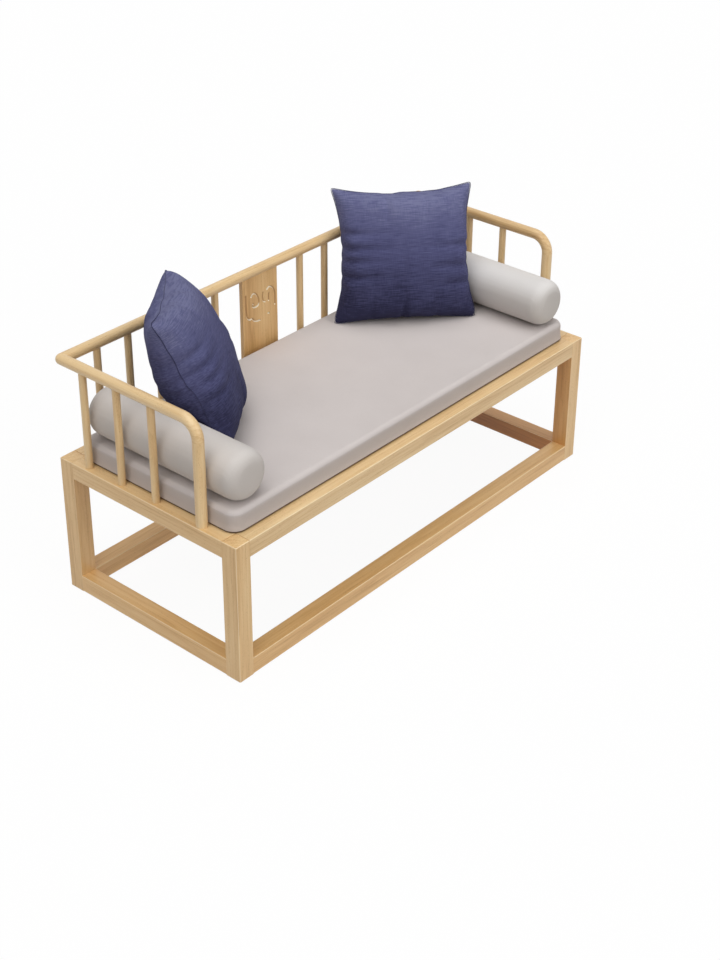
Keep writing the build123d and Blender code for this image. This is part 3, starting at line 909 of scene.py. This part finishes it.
def seam(name, points, body):
    """A fine cord that follows the sewn edge of a pillow, in deeper linen: a painted shade line
    along the seam.
    """
    curve = bpy.data.curves.new(name, "CURVE")
    curve.dimensions = "3D"
    curve.bevel_depth = SEAM_RADIUS
    curve.bevel_resolution = 2
    line = curve.splines.new("POLY")
    line.points.add(len(points) - 1)
    for target, point in zip(line.points, points):
        target.co = (*point, 1.0)
    line.use_cyclic_u = True
    work = bpy.data.objects.new(name + "_line", curve)
    bpy.context.scene.collection.objects.link(work)
    mesh = evaluated(work)
    bpy.data.objects.remove(work)
    mesh_object(name, mesh, seam_shade_cloth, body)


def pillow(side, tone, middle, facing, lean, roll, **form):
    """A stuffed square pillow with soft corners, standing on the seat cushion. Its form is
    what shaped() takes: the quarters that set which corners the simulation's creases come
    to, the radius of its corners, how full its back is in the middle, what its head and its
    heel take off that, and how strong the puckers of each edge are."""
    turn = (Matrix.Rotation(math.radians(facing), 4, "Z")
            @ Matrix.Rotation(math.radians(90 - lean), 4, "X")
            @ Matrix.Rotation(math.radians(roll), 4, "Z"))
    stand = Matrix.Translation(Vector(middle)) @ turn
    placing = np.array(stand)
    spin = np.array(Matrix.Rotation(math.radians(90 * form["quarters"]), 3, "Z"))
    blown, flat_spots, rim = stuffed
    mesh = blown.copy()
    plan = shaped(flat_spots @ spin.T, rim, **form)
    spots = keep_clear(plan @ placing[:3, :3].T + placing[:3, 3], side)
    set_points(mesh, spots)
    linen = navy_linen(f"pillow_linen_{side}", tone, stand)
    piece = mesh_object(f"pillow_{side}", subdivided(mesh), linen,
                        f"pillow_{side}")
    seam(f"pillow_{side}_seam", spots[rim], f"pillow_{side}")
    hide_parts(f"pillow_{side}_cover", f"pillow_{side}_insert")


stuffed = stuffed_pillow()
seat_cushion()
bolster("left")
bolster("right")
pillow("left", tone=0.93, middle=(-0.4586, 0.0977, 0.6796), facing=44.0, lean=26.9, roll=-5.6,
       quarters=2, corner=0.040, back=1.15, head=0.25, heel=0.58, crumple=(0.6, 0.2, 0.6, 1.0))
pillow("right", tone=1.0, middle=(0.4335, 0.1231, 0.6738), facing=-41.5, lean=17.5, roll=0.0,
       quarters=0, corner=0.018, back=1.0, head=0.0, heel=0.0, crumple=(1.0, 1.1, 1.0, 1.1))


# ---------------------------------------------------------------- camera, floor and light

IMAGE_HEIGHT = 960.0            # pixels
FOCAL_LENGTH = 1686.0           # pixels
IMAGE_DROP = 110.0              # pixels from the camera's axis down to the image's middle
SENSOR = 36.0                   # millimetres, along the height of the image
CAMERA_PLACE = (-3.1473, -2.7728, 2.7610)
CAMERA_TURN = (49.4653, 28.4226, 0.3689)
FLOOR_REACH = 30.0
FLOOR_GLOW = 0.94               # how much of the floor's seen white is its own
SKY_LIGHT = 0.10
WHITE = (1.0, 1.0, 1.0, 1.0)
LAMPS = (                       # name, direction, strength, and spread in degrees
    ("left_lamp", (-0.66, -0.20, 0.72), 0.95, 50.0),
    ("top_lamp", (0.0, 0.0, 1.0), 1.40, 50.0),
    ("front_lamp", (0.10, -0.87, 0.48), 0.99, 45.0),
)


def aim(position, azimuth, elevation, roll):
    """A camera's matrix from where it stands, the way it looks and its roll."""
    a, e, r = (math.radians(angle) for angle in (azimuth, elevation, roll))
    ahead = Vector((math.cos(e) * math.sin(a), math.cos(e) * math.cos(a), -math.sin(e)))
    level = Vector((math.cos(a), -math.sin(a), 0.0))
    above = level.cross(ahead)
    right = level * math.cos(r) + above * math.sin(r)
    up = above * math.cos(r) - level * math.sin(r)
    turn = Matrix((right, up, -ahead)).transposed().to_4x4()
    return Matrix.Translation(position) @ turn


def camera():
    """The camera of the rest view."""
    data = bpy.data.cameras.new("camera")
    data.sensor_width = SENSOR
    data.lens = FOCAL_LENGTH / IMAGE_HEIGHT * SENSOR
    data.shift_y = -IMAGE_DROP / IMAGE_HEIGHT
    data.clip_end = 100.0
    stand = bpy.data.objects.new("camera", data)
    bpy.context.scene.collection.objects.link(stand)
    stand.matrix_world = aim(Vector(CAMERA_PLACE), *CAMERA_TURN)
    bpy.context.scene.camera = stand


def white_to_camera(finish, seen, lit):
    """Joins a shader that the camera and clear or shiny things see to one that lights."""
    rays = [finish.node("ShaderNodeLightPath", out=name)
            for name in ("Is Camera Ray", "Is Glossy Ray", "Is Transmission Ray")]
    share = rays[0].at_least(rays[1]).at_least(rays[2])
    return finish.node("ShaderNodeMixShader", None, {0: share, 1: lit, 2: seen})


def floor_finish():
    """Pale grey to the light, and almost white to the camera."""
    paper = new_finish("pale_floor")
    grey = paper.noise(paper.place(), 3.0, 2.0)
    plain = paper.blend(grey, (0.62, 0.60, 0.58), (0.64, 0.62, 0.60))
    lit = paper.node("ShaderNodeBsdfDiffuse", None, {"Color": plain})
    white = paper.node("ShaderNodeBsdfDiffuse", None, {"Color": WHITE})
    glow = paper.node("ShaderNodeEmission", None, {"Color": WHITE, "Strength": 1.0})
    seen = paper.node("ShaderNodeMixShader", None, {0: FLOOR_GLOW, 1: white, 2: glow})
    paper.node("ShaderNodeOutputMaterial", None, {
        "Surface": white_to_camera(paper, seen, lit)})
    return paper.owner


def floor():
    """A plain floor that reaches far past the view."""
    mesh = bpy.data.meshes.new("floor")
    reach = FLOOR_REACH
    mesh.from_pydata([(-reach, -reach, 0), (reach, -reach, 0), (reach, reach, 0),
                      (-reach, reach, 0)], [], [(0, 1, 2, 3)])
    mesh.materials.append(floor_finish())
    sheet = bpy.data.objects.new("floor", mesh)
    bpy.context.scene.collection.objects.link(sheet)


def sky():
    """A faint even light from all round, white to the camera."""
    world = bpy.data.worlds.new("studio")
    bpy.context.scene.world = world
    air = Finish(world)
    faint = air.node("ShaderNodeBackground", None, {"Color": WHITE, "Strength": SKY_LIGHT})
    white = air.node("ShaderNodeBackground", None, {"Color": WHITE, "Strength": 1.0})
    air.node("ShaderNodeOutputWorld", None, {"Surface": white_to_camera(air, white, faint)})


def sun(name, towards, strength, spread):
    """A broad lamp far off in one direction."""
    data = bpy.data.lights.new(name, "SUN")
    data.energy = strength
    data.angle = math.radians(spread)
    lamp = bpy.data.objects.new(name, data)
    bpy.context.scene.collection.objects.link(lamp)
    lamp.rotation_mode = "QUATERNION"
    lamp.rotation_quaternion = Vector(towards).to_track_quat("Z", "Y")


camera()
floor()
sky()
for lamp in LAMPS:
    sun(*lamp)

bpy.context.scene.view_settings.view_transform = "Standard"
